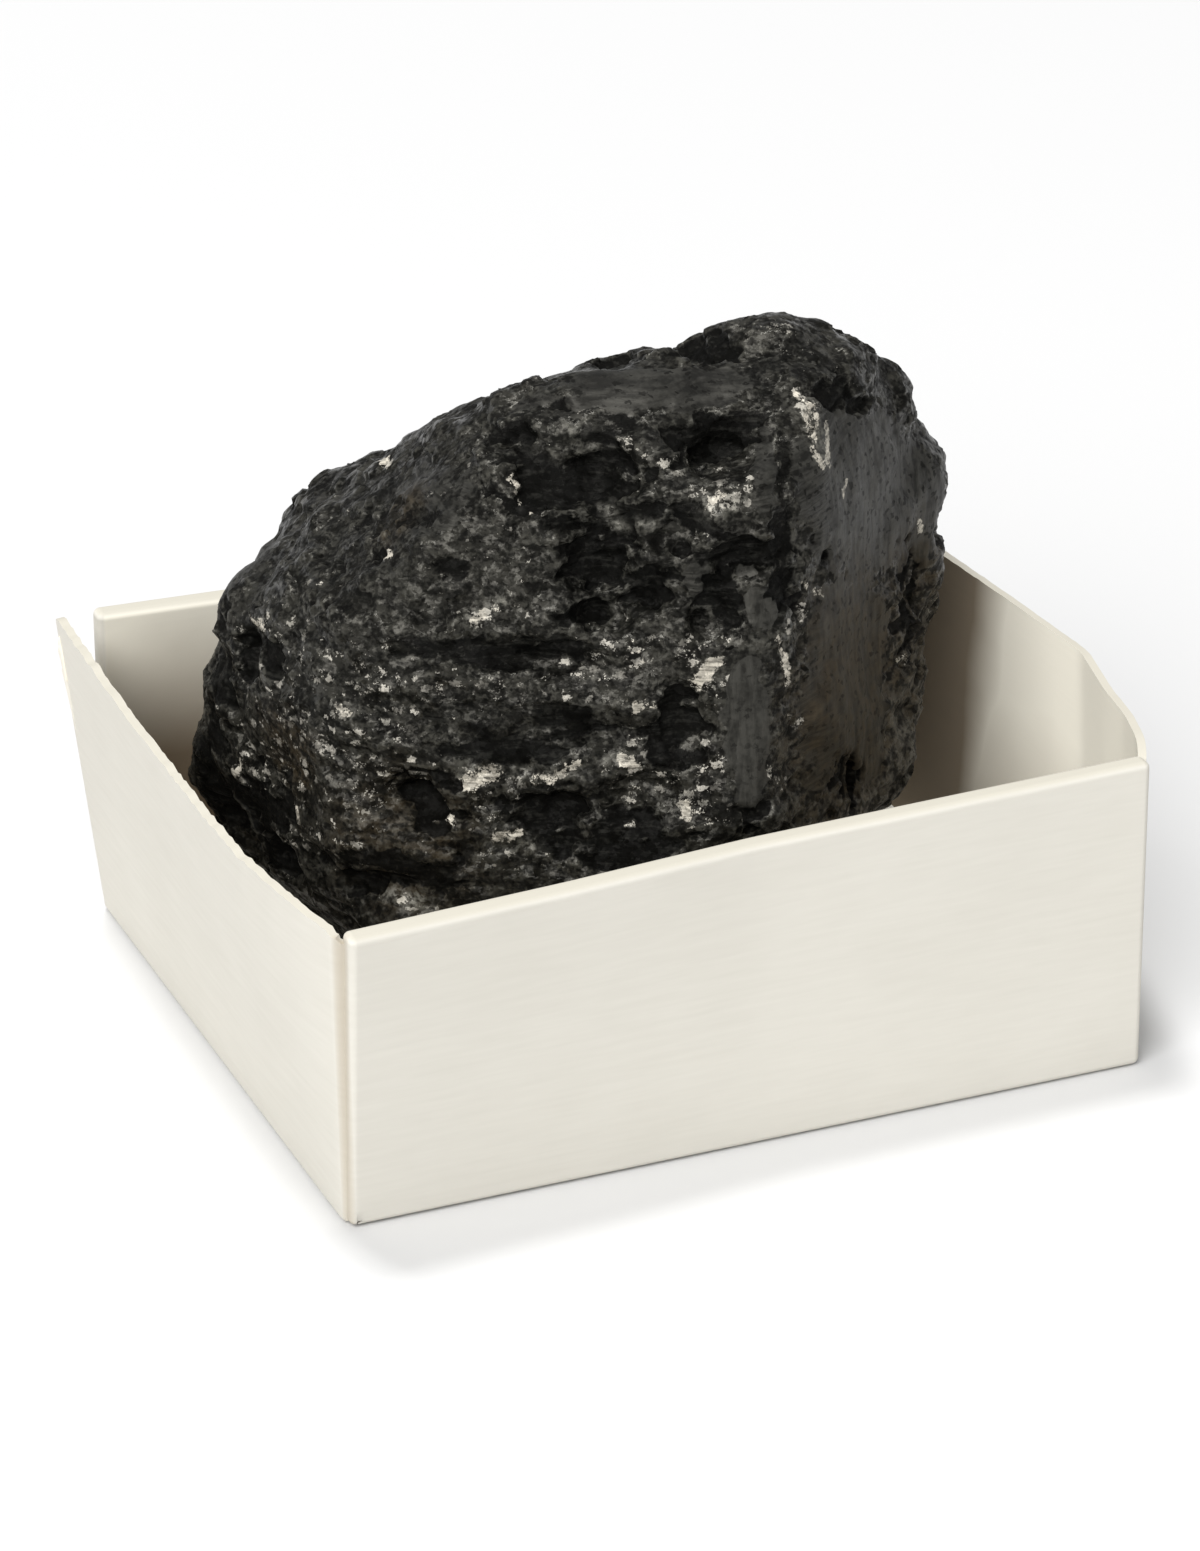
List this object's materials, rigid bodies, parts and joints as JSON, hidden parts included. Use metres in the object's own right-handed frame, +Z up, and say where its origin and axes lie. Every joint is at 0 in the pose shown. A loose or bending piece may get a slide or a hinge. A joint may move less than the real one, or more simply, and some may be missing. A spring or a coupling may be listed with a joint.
{
  "type": "coal lump in a card tray",
  "caption": "Lump of hard coal with broken, glinting faces, standing in a small open tray folded from off-white card.",
  "frame": {"origin": "middle of the tray's flat underside, on the surface that the tray stands on", "axes": "+Z up; the tray's long hemmed front wall faces -Y and its creased single wall faces +X"},
  "size_m": [0.0557, 0.0435, 0.0419],
  "materials": {
    "coal": "bright broken coal, half-gloss black with smooth grey faces and small glints",
    "card": "matt off-white card with a faint level grain and raw cut rims"
  },
  "bodies": {
    "root": {"coal_lump": "coal", "tray": "card"}
  },
  "joints": []
}
